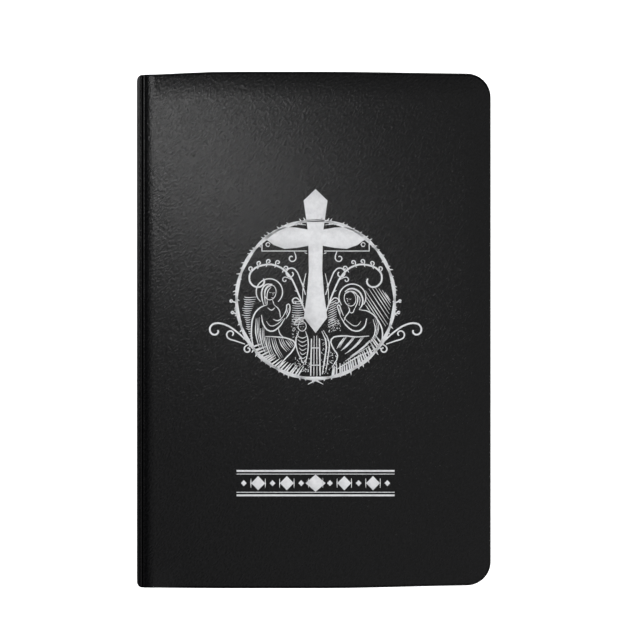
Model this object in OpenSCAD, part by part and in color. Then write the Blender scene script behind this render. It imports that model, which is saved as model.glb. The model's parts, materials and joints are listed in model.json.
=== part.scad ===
// A limp-bound devotional book with a rounded spine, lying closed on its back cover.
// Millimetres. +X runs from the spine to the fore-edge, +Y from tail to head, +Z from back to front.
// The origin is the centre of the underside.

/* [Pages] */
// Width of a leaf, from its fold to its fore-edge
page_w = 141.3; // [110:0.1:180]
// Height of a leaf
page_h = 210; // [160:1:260]
// Corner radius of the leaves at the fore-edge
page_corner_r = 8; // [3:0.5:12]
// Thickness of one sewn signature
signature_t = 1.45; // [1:0.05:1.8]
// Thickness of a loose leaf at the middle opening, and of a flyleaf
leaf_t = 0.25; // [0.15:0.05:0.4]
// Air between two neighbouring loose sheets
sheet_gap = 0.2; // [0.1:0.05:0.4]
// Slant cut off each signature's fold
fold_chamfer = 0.35; // [0.1:0.05:0.45]

/* [Cover] */
// Thickness of the imitation leather
leather_t = 0.9; // [0.6:0.05:1.2]
// Thickness of the flexible board
board_t = 1.2; // [0.8:0.1:2]
// Thickness of the pared leather turned in round the board
turn_in_t = 0.3; // [0.2:0.05:0.5]
// Width of the turned-in leather
turn_in_w = 12; // [8:1:18]
// Corner radius inside the turned-in leather
turn_in_corner_r = 3; // [1:0.5:5]
// Thickness of a pastedown
pastedown_t = 0.2; // [0.1:0.05:0.4]
// Bare turn-in left round a pastedown
pastedown_margin = 4; // [3:0.5:7]
// How far the cover stands past the leaves at head and tail
square_head = 3; // [2:0.5:5]
// How far the cover stands past the outermost leaves at the fore-edge
square_fore = 3.2; // [2:0.2:5]
// Corner radius of the cover at the fore-edge
cover_corner_r = 10; // [8:0.5:14]
// Clearance round the board inside its leather
board_fit = 0.1; // [0.05:0.05:0.3]

/* [Spine] */
// Radius of the rounded back of the leaves
spine_r = 45; // [40:1:60]
// Thickness of the sewing thread
thread_t = 0.3; // [0.2:0.05:0.4]
// Thickness of the gauze lining
mull_t = 0.3; // [0.2:0.05:0.5]
// Height of the gauze lining
mull_h = 180; // [120:1:190]
// Thickness of the card spine strip
liner_t = 0.4; // [0.3:0.05:0.6]
// Glue line between two layers on the spine
glue_t = 0.05; // [0.05:0.01:0.1]
// Radius of the cord inside a head band or tail band
band_r = 0.8; // [0.5:0.1:1.2]
// Number of sewing stations along the spine
stations = 8; // [4:1:12]
// Distance between two sewing stations
station_pitch = 24; // [10:1:28]

/* [Joint] */
// Distance from the outermost spine to a cover's hinge line
hinge_u = 3.2; // [3:0.1:4]
// Distance from a hinge line to the edge of the stiff cover
joint_w = 5; // [4.8:0.1:6]
// Width of the slope from a hinge line up to the face of the cover
joint_slope_w = 1.6; // [1:0.1:2.5]
// Depth of the groove along the joint
groove_d = 1.8; // [1.4:0.1:2]
// Rise of the spine's shoulder above the bottom of the groove
shoulder_rise = 0.4; // [0.2:0.1:0.5]
// Distance from the fold of the first signature to the edge of the flyleaf
flyleaf_inset = 1.6; // [1:0.1:2]
// Depth of the endpaper's fold behind the edge of the flyleaf
endpaper_fold_w = 1; // [0.6:0.1:1.2]

/* [Stamping] */
// Thickness of the silver foil
foil_t = 0.06; // [0.05:0.01:0.1]
// Bare leather left between two foil pieces
foil_gap = 0.6; // [0.4:0.1:1]
// Mean radius of the wreath ring
ring_r = 33; // [30:0.5:36]
// Width of the wreath ring
ring_w = 1.6; // [1:0.1:2.5]
// Height of the cross above its arms
cross_head_h = 20; // [14:0.5:24]
// Height of the cross below its arms
cross_foot_h = 41; // [32:0.5:44]
// Span of the cross's arms
cross_span = 42; // [30:1:46]
// Height of the cross's arms above the centre of the ring
cross_arm_y = 26; // [22:0.5:27]
// Centre of the medallion, beside the middle of the cover
medallion_x = 1; // [-5:0.1:5]
// Centre of the medallion, above the middle of the cover
medallion_y = 12.7; // [0:0.1:20]
// Width of the ornament below the medallion
ornament_w = 66; // [40:1:80]
// Height of that ornament
ornament_h = 11; // [6:0.5:14]
// Centre of that ornament, above the middle of the cover
ornament_y = -64; // [-75:0.5:-55]

/* [Hidden] */
$fn = 96;
HALF_SIGNATURES = 8;
HALF_LEAVES = 2;
SIGNATURES = 2 * HALF_SIGNATURES;
LEAVES = 2 * HALF_LEAVES;
EPS = 0.01;

leather_colour = [0.035, 0.035, 0.04];
board_colour = [0.52, 0.5, 0.46];
paper_colour = [0.92, 0.89, 0.82];
endpaper_colour = [0.9, 0.88, 0.84];
foil_colour = [0.86, 0.86, 0.87];
thread_colour = [0.93, 0.92, 0.88];

// Levels, counted from the underside
cover_t = leather_t + board_t + turn_in_t + pastedown_t;
flyleaf_z = cover_t + sheet_gap;
block_z = flyleaf_z + leaf_t + sheet_gap;
leaf_pitch = leaf_t + sheet_gap;
leaf_stack_t = LEAVES * leaf_pitch + sheet_gap;
half_block_t = HALF_SIGNATURES * signature_t + leaf_stack_t / 2;
mid_z = block_z + half_block_t;
total_t = 2 * mid_z;

// Layers outside the leaves' rounded back, as radii of the spine
thread_r0 = spine_r + 2 * glue_t;
mull_r0 = thread_r0 + thread_t + glue_t;
liner_r0 = mull_r0 + mull_t + glue_t;
leather_r0 = liner_r0 + liner_t + glue_t;
leather_r1 = leather_r0 + leather_t;

// How far back from the outermost fold the rounded back lies at a height
function rounding(z) = spine_r - sqrt(pow(spine_r, 2) - pow(z - mid_z, 2));

// Plan
fold_u = leather_r1 - spine_r;
round_depth = rounding(block_z);
total_w = fold_u + round_depth + page_w + square_fore;
total_h = page_h + 2 * square_head;
spine_x = -total_w / 2;
fold_x = spine_x + fold_u;
centre_x = spine_x + leather_r1;
hinge_x = spine_x + hinge_u;
board_x = hinge_x + joint_w;
cover_w = total_w / 2 - board_x;
flyleaf_x = fold_x + round_depth + flyleaf_inset;
leaf_x = fold_x + sheet_gap;
shoulder_z = groove_d - shoulder_rise;

// Where the outside of the spine leather lies at a height
function leather_x(z) = centre_x - sqrt(pow(leather_r1, 2) - pow(z - mid_z, 2));
shoulder_x = leather_x(shoulder_z) + EPS;

function signature_z(i) = i < HALF_SIGNATURES
    ? block_z + i * signature_t
    : mid_z + leaf_stack_t / 2 + (i - HALF_SIGNATURES) * signature_t;
// The height of the end of a signature's flat fold that lies farther from the middle
function fold_end_z(i) = i < HALF_SIGNATURES
    ? signature_z(i) + fold_chamfer
    : signature_z(i) + signature_t - fold_chamfer;
function leaf_z(i) = mid_z - leaf_stack_t / 2 + sheet_gap + i * leaf_pitch;
function station_y(k) = (k - (stations - 1) / 2) * station_pitch;
function two_digits(i) = i < 10 ? str("0", i) : str(i);
function signature_name(i) = str("signature_", two_digits(i + 1));
function leaf_name(i) = str("middle_leaf_", i + 1);

// ---- Shapes that repeat ----

// A sheet with its left edge at x = 0, its two right corners rounded
module fore_edge_outline(w, h, r) {
    difference() {
        translate([0, -h / 2]) square([w, h]);
        for (s = [-1, 1])
            translate([w - r, s * (h / 2 - r)]) difference() {
                translate([0, s > 0 ? 0 : -r - 1]) square([r + 1, r + 1]);
                circle(r);
            }
    }
}

module sheet(w, h, r, t) {
    linear_extrude(height = t) fore_edge_outline(w, h, r);
}

// A profile drawn in X and Z, run along Y
module along_y(h) {
    rotate([90, 0, 0]) linear_extrude(height = h, center = true) children();
}

// A curved layer of the spine between two radii, to a height either side of its middle
module spine_layer(r0, t, reach, h) {
    intersection() {
        translate([centre_x, 0, mid_z]) rotate([90, 0, 0]) difference() {
            cylinder(r = r0 + t, h = h, center = true);
            cylinder(r = r0, h = h + 2, center = true);
        }
        translate([spine_x - 1, -h / 2 - 1, mid_z - reach]) cube([r0, h + 2, 2 * reach]);
    }
}

// A piece drawn for the back, or the same piece turned over for the front
module turned_over(front) {
    if (front)
        translate([0, 0, total_t]) mirror([0, 0, 1]) children();
    else
        children();
}

// ---- The covers ----

// Leather folded round the board's three free edges
module cover_leather(front) {
    inner_t = board_t + turn_in_t + EPS;
    color(leather_colour) turned_over(front) translate([board_x, 0, 0]) difference() {
        sheet(cover_w, total_h, cover_corner_r, cover_t - pastedown_t);
        translate([-1, 0, leather_t])
            sheet(cover_w - leather_t + 1, total_h - 2 * leather_t, cover_corner_r - leather_t, board_t);
        translate([-1, 0, leather_t])
            sheet(cover_w - turn_in_w + 1, total_h - 2 * turn_in_w, turn_in_corner_r, inner_t);
    }
}

// Flexible board with a thin infill between the turned-in edges
module cover_board(front) {
    edge = leather_t + board_fit;
    infill_edge = turn_in_w + board_fit;
    color(board_colour) turned_over(front) translate([board_x, 0, leather_t]) union() {
        sheet(cover_w - edge, total_h - 2 * edge, cover_corner_r - edge, board_t);
        sheet(cover_w - infill_edge, total_h - 2 * infill_edge, turn_in_corner_r, board_t + turn_in_t);
    }
}

module cover_pastedown(front) {
    color(endpaper_colour) turned_over(front) translate([board_x, 0, cover_t - pastedown_t])
        sheet(cover_w - pastedown_margin, total_h - 2 * pastedown_margin,
            cover_corner_r - pastedown_margin, pastedown_t);
}

module flyleaf(front) {
    color(endpaper_colour) turned_over(front) translate([flyleaf_x, 0, flyleaf_z])
        sheet(fold_x + round_depth + page_w - flyleaf_x, page_h, page_corner_r, leaf_t);
}

// The strip of endpaper that crosses the joint from the pastedown and folds back to the flyleaf
module endpaper_hinge(front) {
    low = cover_t - pastedown_t;
    high = flyleaf_z + leaf_t;
    outer_x = flyleaf_x - endpaper_fold_w;
    inner_x = outer_x + pastedown_t;
    color(endpaper_colour) turned_over(front) along_y(page_h)
        polygon([[board_x, low], [outer_x, low], [outer_x, high], [flyleaf_x, high],
                 [flyleaf_x, flyleaf_z], [inner_x, flyleaf_z], [inner_x, cover_t], [board_x, cover_t]]);
}

// The grooved strip of leather between the stiff cover and the spine's shoulder
module joint_leather(front) {
    outer = [[board_x, 0], [hinge_x + joint_slope_w, 0],
             [hinge_x, groove_d], [shoulder_x, shoulder_z]];
    inner = [for (i = [len(outer) - 1 : -1 : 0]) [outer[i].x, outer[i].y + leather_t]];
    color(leather_colour) turned_over(front) along_y(total_h) polygon(concat(outer, inner));
}

// ---- The spine, from the outside in ----

module spine_leather() {
    color(leather_colour) difference() {
        spine_layer(leather_r0, leather_t, mid_z - shoulder_z, total_h);
        for (front = [false, true])
            turned_over(front) translate([shoulder_x - EPS, -total_h / 2 - 1, -1])
                cube([hinge_u, total_h + 2, groove_d + leather_t + 1]);
    }
}

module spine_liner() {
    color(board_colour) spine_layer(liner_r0, liner_t, half_block_t, page_h);
}

module spine_mull() {
    color(thread_colour) spine_layer(mull_r0, mull_t, half_block_t, mull_h);
}

module sewing_thread() {
    color(thread_colour) for (k = [0 : stations - 1])
        translate([0, station_y(k), 0])
            spine_layer(thread_r0, thread_t, half_block_t - signature_t / 2, 2 * thread_t);
}

module end_band(end) {
    half_angle = asin(half_block_t / spine_r);
    color(thread_colour) translate([centre_x, end * (page_h / 2 + band_r), mid_z])
        rotate([90, 0, 0]) rotate([0, 0, 180 - half_angle])
            rotate_extrude(angle = 2 * half_angle)
                translate([spine_r - band_r, 0]) circle(band_r);
}

// ---- The leaves ----

// A folded and gathered section, set back as the round of the spine asks
module signature(i) {
    x = fold_x + rounding(fold_end_z(i));
    z = signature_z(i);
    c = fold_chamfer;
    color(paper_colour) intersection() {
        along_y(page_h + 1)
            polygon([[x + c, z], [x + page_w + 1, z], [x + page_w + 1, z + signature_t],
                     [x + c, z + signature_t], [x, z + signature_t - c], [x, z + c]]);
        translate([x - 1, 0, z - 1]) sheet(page_w + 1, page_h, page_corner_r, signature_t + 2);
    }
}

module middle_leaf(i) {
    color(paper_colour) translate([leaf_x, 0, leaf_z(i)])
        sheet(fold_x + page_w - leaf_x, page_h, page_corner_r, leaf_t);
}

// ---- Silver stamping on the front, drawn from the centre of each ornament ----

module stamped(x, y) {
    color(foil_colour) translate([x, y, total_t]) linear_extrude(height = foil_t) children();
}

// The cross with flared, pointed arms; edge widens it all round
module cross_outline(edge) {
    half_span = cross_span / 2;
    top = cross_arm_y + cross_head_h;
    foot = cross_arm_y - cross_foot_h;
    right = [[5 + edge, top - 4.5], [3.4 + edge, cross_arm_y + 3 + edge],
             [half_span * 0.8, cross_arm_y + 4.5 + edge], [half_span + edge, cross_arm_y],
             [half_span * 0.8, cross_arm_y - 4.5 - edge], [2.8 + edge, cross_arm_y - 3 - edge],
             [4.8 + edge, foot + 6.5]];
    left = [for (i = [len(right) - 1 : -1 : 0]) [-right[i].x, right[i].y]];
    polygon(concat([[0, top + edge]], right, [[0, foot - edge]], left));
}

module foil_cross() {
    stamped(medallion_x, medallion_y) cross_outline(0);
}

module band(r, w) {
    difference() {
        circle(r + w / 2);
        circle(r - w / 2);
    }
}

module foil_ring() {
    stamped(medallion_x, medallion_y) difference() {
        band(ring_r, ring_w);
        cross_outline(foil_gap);
    }
}

// A curl of vine: most of a ring, with a bud at its heart
module curl(r, w, open) {
    difference() {
        band(r, w);
        rotate(open) square([2 * r, r]);
    }
    circle(w);
}

// Four curls outside the ring, two inside its upper half, and two leaves crossed at its foot
module foil_scrolls() {
    outside = ring_r + ring_w / 2 + foil_gap;
    stamped(medallion_x, medallion_y) difference() {
        for (s = [-1, 1]) {
            rotate(s * 75 - 90) translate([outside + 6.5, 0]) curl(5, 1, 200);
            rotate(s * 55 - 90) translate([outside + 4, 0]) curl(3, 0.8, 20);
            rotate(s * 44 + 90) translate([ring_r - ring_w - 5.5, 0]) curl(3.6, 0.9, 90);
            rotate(s * 7 - 90) translate([outside, -0.6]) square([5, 1.2]);
        }
        cross_outline(foil_gap);
    }
}

// A kneeling figure in a plain robe under a halo
module robed_figure(side, lean) {
    translate([side * 20, -2]) mirror([side > 0 ? 1 : 0, 0]) rotate(lean) {
        translate([0, 5.6]) band(5.2, 0.7);
        translate([0, 5.6]) circle(3.2);
        polygon([[-4, 0], [3, 0], [6, -4], [9.5, 0], [10.5, -1.5], [7, -8],
                 [8, -16], [-6, -16], [-7, -7]]);
    }
}

// A small swaddled child lying between the figures
module small_figure() {
    translate([0, -22]) {
        translate([-5, 1]) circle(1.9);
        polygon([[-2.6, 2], [5.5, 0.8], [7, -1], [5, -2.6], [-2.6, -1.6]]);
        translate([-8, -5]) square([16, 1]);
    }
}

module foil_figures() {
    stamped(medallion_x, medallion_y) difference() {
        union() {
            robed_figure(-1, -4);
            robed_figure(1, 6);
            small_figure();
        }
        cross_outline(foil_gap);
    }
}

// Two rules with a row of lozenges between them, the middle one the largest
module foil_ornament() {
    rule_w = 0.7;
    lozenges = 7;
    pitch = ornament_w / (lozenges + 1);
    stamped(0, ornament_y) {
        for (s = [-1, 1])
            translate([-ornament_w / 2, s * (ornament_h - rule_w) / 2 - rule_w / 2])
                square([ornament_w, rule_w]);
        for (k = [0 : lozenges - 1]) {
            off = k - (lozenges - 1) / 2;
            size = off == 0 ? ornament_h / 2 - rule_w - foil_gap : ornament_h / 5;
            translate([off * pitch, 0]) polygon([[-size, 0], [0, size], [size, 0], [0, -size]]);
        }
    }
}

cover_leather(true);  // front_leather
cover_board(true);  // front_board
cover_pastedown(true);  // front_pastedown
flyleaf(true);  // front_flyleaf
endpaper_hinge(true);  // front_endpaper_hinge
joint_leather(true);  // front_joint_leather
cover_leather(false);  // back_leather
cover_board(false);  // back_board
cover_pastedown(false);  // back_pastedown
flyleaf(false);  // back_flyleaf
endpaper_hinge(false);  // back_endpaper_hinge
joint_leather(false);  // back_joint_leather
spine_leather();
spine_liner();
spine_mull();
sewing_thread();
end_band(1);  // head_band
end_band(-1);  // tail_band
foil_cross();
foil_ring();
foil_scrolls();
foil_figures();
foil_ornament();
for (i = [0 : SIGNATURES - 1])
    signature(i);
for (i = [0 : LEAVES - 1])
    middle_leaf(i);
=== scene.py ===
# A closed, limp-bound devotional book: black imitation leather, thin sewn leaves and silver stamping.
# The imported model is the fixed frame. Blender works in metres, and sizes are written in millimetres times mm.
import json
import math
import random

import bmesh
import bpy
from mathutils import Matrix, Vector
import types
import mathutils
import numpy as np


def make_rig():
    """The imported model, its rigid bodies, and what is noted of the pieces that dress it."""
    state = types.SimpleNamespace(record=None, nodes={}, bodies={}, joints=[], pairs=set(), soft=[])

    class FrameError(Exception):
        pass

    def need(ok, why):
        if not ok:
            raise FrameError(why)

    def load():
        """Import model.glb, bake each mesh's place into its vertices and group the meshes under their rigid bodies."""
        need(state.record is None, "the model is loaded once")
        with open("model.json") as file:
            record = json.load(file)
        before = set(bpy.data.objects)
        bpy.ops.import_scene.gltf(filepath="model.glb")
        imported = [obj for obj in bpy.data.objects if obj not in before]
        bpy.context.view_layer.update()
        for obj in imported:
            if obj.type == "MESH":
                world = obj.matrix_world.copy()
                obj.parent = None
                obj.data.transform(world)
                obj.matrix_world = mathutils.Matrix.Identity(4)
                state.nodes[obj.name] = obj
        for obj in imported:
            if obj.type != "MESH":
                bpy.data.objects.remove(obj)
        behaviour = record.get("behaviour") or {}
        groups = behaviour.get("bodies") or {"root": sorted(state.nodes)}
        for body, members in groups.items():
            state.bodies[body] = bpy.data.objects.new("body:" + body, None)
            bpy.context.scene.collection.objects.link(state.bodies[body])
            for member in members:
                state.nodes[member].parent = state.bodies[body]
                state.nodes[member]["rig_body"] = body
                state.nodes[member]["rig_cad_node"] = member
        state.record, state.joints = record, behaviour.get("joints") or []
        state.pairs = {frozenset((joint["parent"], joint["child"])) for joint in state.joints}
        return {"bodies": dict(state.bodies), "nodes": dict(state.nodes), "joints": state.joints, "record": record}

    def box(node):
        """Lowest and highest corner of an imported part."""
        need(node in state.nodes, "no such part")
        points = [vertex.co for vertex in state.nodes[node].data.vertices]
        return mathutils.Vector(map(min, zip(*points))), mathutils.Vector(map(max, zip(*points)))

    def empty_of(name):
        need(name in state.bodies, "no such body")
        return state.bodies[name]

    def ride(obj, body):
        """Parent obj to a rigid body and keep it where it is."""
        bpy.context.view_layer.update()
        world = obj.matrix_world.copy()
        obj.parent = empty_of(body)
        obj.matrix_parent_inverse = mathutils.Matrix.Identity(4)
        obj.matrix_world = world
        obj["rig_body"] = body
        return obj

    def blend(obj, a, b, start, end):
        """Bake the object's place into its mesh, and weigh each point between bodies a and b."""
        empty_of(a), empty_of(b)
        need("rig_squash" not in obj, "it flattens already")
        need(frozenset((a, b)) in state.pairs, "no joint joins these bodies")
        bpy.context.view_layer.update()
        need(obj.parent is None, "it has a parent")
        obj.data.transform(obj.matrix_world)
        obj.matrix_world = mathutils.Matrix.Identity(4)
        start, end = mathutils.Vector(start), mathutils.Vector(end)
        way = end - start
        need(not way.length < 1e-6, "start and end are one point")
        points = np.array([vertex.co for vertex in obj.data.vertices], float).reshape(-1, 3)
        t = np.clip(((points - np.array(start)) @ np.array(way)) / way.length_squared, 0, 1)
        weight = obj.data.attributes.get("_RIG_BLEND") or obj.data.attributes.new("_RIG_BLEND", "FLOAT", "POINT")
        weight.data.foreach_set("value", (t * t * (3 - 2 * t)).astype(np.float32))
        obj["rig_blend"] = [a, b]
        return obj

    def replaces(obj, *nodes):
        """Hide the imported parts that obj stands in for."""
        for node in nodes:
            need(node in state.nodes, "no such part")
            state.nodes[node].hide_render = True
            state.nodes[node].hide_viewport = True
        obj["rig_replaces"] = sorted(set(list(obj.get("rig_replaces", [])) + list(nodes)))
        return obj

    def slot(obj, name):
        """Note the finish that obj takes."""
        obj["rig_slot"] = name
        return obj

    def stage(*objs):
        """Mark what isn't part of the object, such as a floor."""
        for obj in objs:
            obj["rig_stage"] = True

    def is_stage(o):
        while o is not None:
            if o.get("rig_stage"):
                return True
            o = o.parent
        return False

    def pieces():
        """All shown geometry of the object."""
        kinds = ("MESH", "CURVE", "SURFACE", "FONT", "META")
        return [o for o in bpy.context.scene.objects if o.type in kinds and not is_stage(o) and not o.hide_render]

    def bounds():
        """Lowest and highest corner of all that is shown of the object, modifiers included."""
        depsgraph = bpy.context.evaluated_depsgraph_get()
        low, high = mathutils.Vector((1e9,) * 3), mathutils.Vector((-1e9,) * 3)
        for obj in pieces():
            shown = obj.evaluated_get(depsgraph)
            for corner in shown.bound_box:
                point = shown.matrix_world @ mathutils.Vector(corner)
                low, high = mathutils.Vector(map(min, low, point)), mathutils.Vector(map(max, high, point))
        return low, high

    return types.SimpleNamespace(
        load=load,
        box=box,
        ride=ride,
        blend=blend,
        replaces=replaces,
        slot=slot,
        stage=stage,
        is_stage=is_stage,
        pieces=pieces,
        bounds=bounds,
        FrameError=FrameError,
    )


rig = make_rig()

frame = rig.load()
cad_low, cad_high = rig.bounds()
mm = 0.001


# ---- Table, lights and camera ----
# A wide soft lamp hangs overhead, a small one over the upper left corner, and soft fills stand round.
# The plain white floor is low enough for a cover to be folded right round under the book. It throws
# little light back, so that the black leather's edges stay dark. Each lamp has a place, a width and a power.

table_size = 2.4
floor_z = -45 * mm
camera_height = 2200 * mm
camera_lens = 291.9
camera_place = (2.85 * mm, 4.17 * mm)
lamps = {
    "overhead": ((0.9, -0.3, 2.8), 2.6, 24.0),
    "upper_left": ((-0.104, 0.13, 1.0), 0.05, 0.95),
    "spine_side": ((-1.3, 0.4, 0.33), 0.75, 17.0),
    "tail_side": ((0.5, -1.7, 0.6), 1.0, 9.0),
    "head_side": ((0.2, 1.7, 0.6), 1.0, 7.0),
    "fore_edge_side": ((1.6, -0.1, 0.5), 0.9, 7.0),
}

bm = bmesh.new()
bmesh.ops.create_grid(bm, x_segments=1, y_segments=1, size=table_size)
bmesh.ops.translate(bm, vec=(0, 0, floor_z), verts=bm.verts)
table_mesh = bpy.data.meshes.new("table")
bm.to_mesh(table_mesh)
bm.free()
table = bpy.data.objects.new("table", table_mesh)
bpy.context.collection.objects.link(table)
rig.stage(table)

white_table = bpy.data.materials.new("white_table")
white_table.use_nodes = True
table_nodes, table_links = white_table.node_tree.nodes, white_table.node_tree.links
table_shader = table_nodes["Principled BSDF"]
table_shader.inputs["Base Color"].default_value = (0.9, 0.9, 0.9, 1)
table_shader.inputs["Roughness"].default_value = 0.8
table_shader.inputs["Emission Color"].default_value = (1, 1, 1, 1)
table_shader.inputs["Emission Strength"].default_value = 1.0
lit_table = table_nodes.new("ShaderNodeBsdfDiffuse")
lit_table.inputs["Color"].default_value = (0.3, 0.3, 0.3, 1)
table_path = table_nodes.new("ShaderNodeLightPath")
table_mix = table_nodes.new("ShaderNodeMixShader")
table_links.new(table_path.outputs["Is Camera Ray"], table_mix.inputs["Fac"])
table_links.new(lit_table.outputs["BSDF"], table_mix.inputs[1])
table_links.new(table_shader.outputs["BSDF"], table_mix.inputs[2])
table_links.new(table_mix.outputs["Shader"], table_nodes["Material Output"].inputs["Surface"])
table_mesh.materials.append(white_table)

for lamp_name, (place, width, power) in lamps.items():
    lamp = bpy.data.lights.new(lamp_name, "AREA")
    lamp.shape = "DISK"
    lamp.size = width
    lamp.energy = power
    lamp_object = bpy.data.objects.new(lamp_name, lamp)
    lamp_object.location = place
    lamp_object.rotation_euler = (-Vector(place)).to_track_quat("-Z", "Y").to_euler()
    lamp_object.visible_camera = False
    bpy.context.collection.objects.link(lamp_object)

sky = bpy.data.worlds.new("sky")
sky.use_nodes = True
bpy.context.scene.world = sky
sky_nodes, sky_links = sky.node_tree.nodes, sky.node_tree.links
seen_sky = sky_nodes.new("ShaderNodeBackground")
seen_sky.inputs["Color"].default_value = (1, 1, 1, 1)
lighting_sky = sky_nodes["Background"]
lighting_sky.inputs["Color"].default_value = (0.9, 0.94, 1, 1)
lighting_sky.inputs["Strength"].default_value = 0.15
light_path = sky_nodes.new("ShaderNodeLightPath")
sky_mix = sky_nodes.new("ShaderNodeMixShader")
sky_links.new(light_path.outputs["Is Camera Ray"], sky_mix.inputs["Fac"])
sky_links.new(lighting_sky.outputs["Background"], sky_mix.inputs[1])
sky_links.new(seen_sky.outputs["Background"], sky_mix.inputs[2])
sky_links.new(sky_mix.outputs["Shader"], sky_nodes["World Output"].inputs["Surface"])

camera = bpy.data.cameras.new("camera")
camera.lens = camera_lens
camera_object = bpy.data.objects.new("camera", camera)
camera_object.location = (*camera_place, camera_height)
bpy.context.collection.objects.link(camera_object)
bpy.context.scene.camera = camera_object
bpy.context.scene.view_settings.view_transform = "Standard"


# ---- Sewn signatures ----
# Sixteen folded sections of thin cream paper, rounded at the fold, cut square at head, tail and fore-edge.
# Near the spine they bend with the opening, so that the open book has a gutter between two arched pages.

hinges = {joint["name"]: joint for joint in frame["joints"]}
spine_pivot = Vector(hinges["book_opening"]["pos_m"])
spine_x = spine_pivot.x
mid_z = spine_pivot.z
block_half_t = mid_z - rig.box("signature_01")[0].z
page_corner_r = 8 * mm
fold_round = 0.55 * mm
gutter_reach = 20 * mm
gutter_columns = 16
bent_reach = gutter_reach + 4 * mm


def sheet(left, right, half_height, corner_r, columns=(), rows=(), insets=()):
    """A flat sheet facing up, with two rounded corners at the fore-edge, cut by lines across it."""
    made = bmesh.new()
    bmesh.ops.create_grid(made, x_segments=1, y_segments=1, size=0.5)
    bmesh.ops.scale(made, vec=(right - left, 2 * half_height, 1), verts=made.verts)
    bmesh.ops.translate(made, vec=((left + right) / 2, 0, 0), verts=made.verts)
    if corner_r:
        corners = [v for v in made.verts if v.co.x > (left + right) / 2]
        bmesh.ops.bevel(made, geom=corners, offset=corner_r, affect="VERTICES",
                        segments=14, profile=0.5, material=-1)
    for width in insets:
        inner = max(made.faces, key=lambda f: f.calc_area())
        bmesh.ops.inset_region(made, faces=[inner], thickness=width, use_boundary=True,
                               use_even_offset=True)
    for axis, places in (((1, 0, 0), columns), ((0, 1, 0), rows)):
        for place in places:
            bmesh.ops.bisect_plane(made, geom=made.verts[:] + made.edges[:] + made.faces[:],
                                   plane_co=Vector(axis) * place, plane_no=axis)
    return made


def thicken(made):
    """Doubles a flat sheet into a closed one whose lower side is at z 0 and whose upper side is at z 1."""
    pulled = bmesh.ops.extrude_face_region(made, geom=made.faces[:])
    risen = [v for v in pulled["geom"] if isinstance(v, bmesh.types.BMVert)]
    bmesh.ops.translate(made, vec=(0, 0, 1), verts=risen)


def finished(made, name, material, sharp=40):
    """The mesh as an object, smooth up to an angle, each point knowing its place in the closed book."""
    bmesh.ops.recalc_face_normals(made, faces=made.faces)
    if made.calc_volume(signed=True) < 0:
        bmesh.ops.reverse_faces(made, faces=made.faces)
    mesh = bpy.data.meshes.new(name)
    made.to_mesh(mesh)
    made.free()
    place = mesh.attributes.new("place", "FLOAT_VECTOR", "POINT")
    flat = [c for v in mesh.vertices for c in v.co]
    place.data.foreach_set("vector", flat)
    mesh.shade_smooth()
    mesh.set_sharp_from_angle(angle=math.radians(sharp))
    mesh.materials.append(material)
    piece = bpy.data.objects.new(name, mesh)
    bpy.context.collection.objects.link(piece)
    return piece


def evenly(low, high, count):
    return [low + (high - low) * k / count for k in range(1, count)]


def quarter_round(distance, radius):
    """How far a rounded edge falls away at a distance inside it."""
    if distance >= radius:
        return 0
    return radius - math.sqrt(radius ** 2 - (radius - max(distance, 0)) ** 2)


def new_material(name, roughness):
    material = bpy.data.materials.new(name)
    material.use_nodes = True
    shader = material.node_tree.nodes["Principled BSDF"]
    shader.inputs["Roughness"].default_value = roughness
    return material, shader


def placed(material):
    """The output of a node that gives each point's place in the closed book."""
    node = material.node_tree.nodes.new("ShaderNodeAttribute")
    node.attribute_name = "place"
    return node.outputs["Vector"]


def stretched(material, vector, scale):
    node = material.node_tree.nodes.new("ShaderNodeMapping")
    node.inputs["Scale"].default_value = scale
    material.node_tree.links.new(vector, node.inputs["Vector"])
    return node.outputs["Vector"]


def ramp(material, value, low, high, colours):
    """Two colours, spread between two values."""
    node = material.node_tree.nodes.new("ShaderNodeValToRGB")
    node.color_ramp.elements[0].position = low
    node.color_ramp.elements[1].position = high
    for element, colour in zip(node.color_ramp.elements, colours):
        element.color = (*colour, 1)
    material.node_tree.links.new(value, node.inputs["Fac"])
    return node.outputs["Color"]


def bumped(material, shader, height, depth):
    node = material.node_tree.nodes.new("ShaderNodeBump")
    node.inputs["Distance"].default_value = depth
    material.node_tree.links.new(height, node.inputs["Height"])
    material.node_tree.links.new(node.outputs["Normal"], shader.inputs["Normal"])


fibrous = bpy.data.node_groups.new("fibrous", "ShaderNodeTree")
for socket, kind in (("Place", "Vector"), ("Scale", "Float"), ("Detail", "Float"), ("Roughness", "Float"),
                     ("Low", "Float"), ("High", "Float"), ("Dark", "Color"), ("Light", "Color"),
                     ("Depth", "Float"), ("Strength", "Float")):
    fibrous.interface.new_socket(socket, in_out="INPUT", socket_type="NodeSocket" + kind)
fibrous.interface.new_socket("Colour", in_out="OUTPUT", socket_type="NodeSocketColor")
fibrous.interface.new_socket("Normal", in_out="OUTPUT", socket_type="NodeSocketVector")
fibre_in = fibrous.nodes.new("NodeGroupInput")
fibre_out = fibrous.nodes.new("NodeGroupOutput")
fibre_noise = fibrous.nodes.new("ShaderNodeTexNoise")
fibre_range = fibrous.nodes.new("ShaderNodeMapRange")
fibre_mix = fibrous.nodes.new("ShaderNodeMix")
fibre_mix.data_type = "RGBA"
fibre_bump = fibrous.nodes.new("ShaderNodeBump")
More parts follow.
